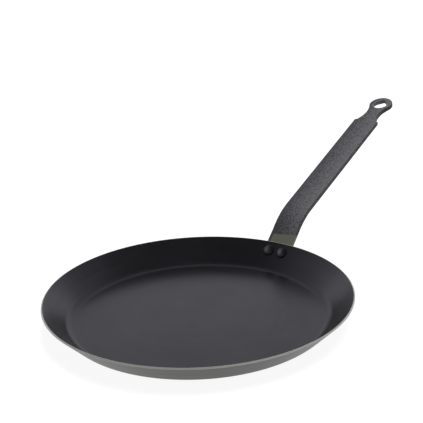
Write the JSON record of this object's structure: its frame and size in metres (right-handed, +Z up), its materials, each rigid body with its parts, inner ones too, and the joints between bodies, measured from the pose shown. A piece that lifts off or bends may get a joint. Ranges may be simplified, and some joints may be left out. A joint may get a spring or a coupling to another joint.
{
  "type": "crepe pan",
  "caption": "Shallow steel crepe pan with a low flaring wall and a long bent strip handle, riveted outside the wall, ending in a teardrop hanging eye.",
  "frame": {"origin": "centre of the flat underside, on the surface the pan stands on", "axes": "+X from the pan's centre along the handle, +Z up out of the open dish"},
  "size_m": [0.4819, 0.2616, 0.1096],
  "materials": {
    "pan_steel": "dark satin, finely ground cooking surface",
    "handle_coating": "black textured coating, bare above the rim",
    "rivet_steel": "dark satin"
  },
  "bodies": {
    "root": {"pan_body": "pan_steel", "handle": "handle_coating", "handle_rivets": "rivet_steel"}
  },
  "joints": []
}
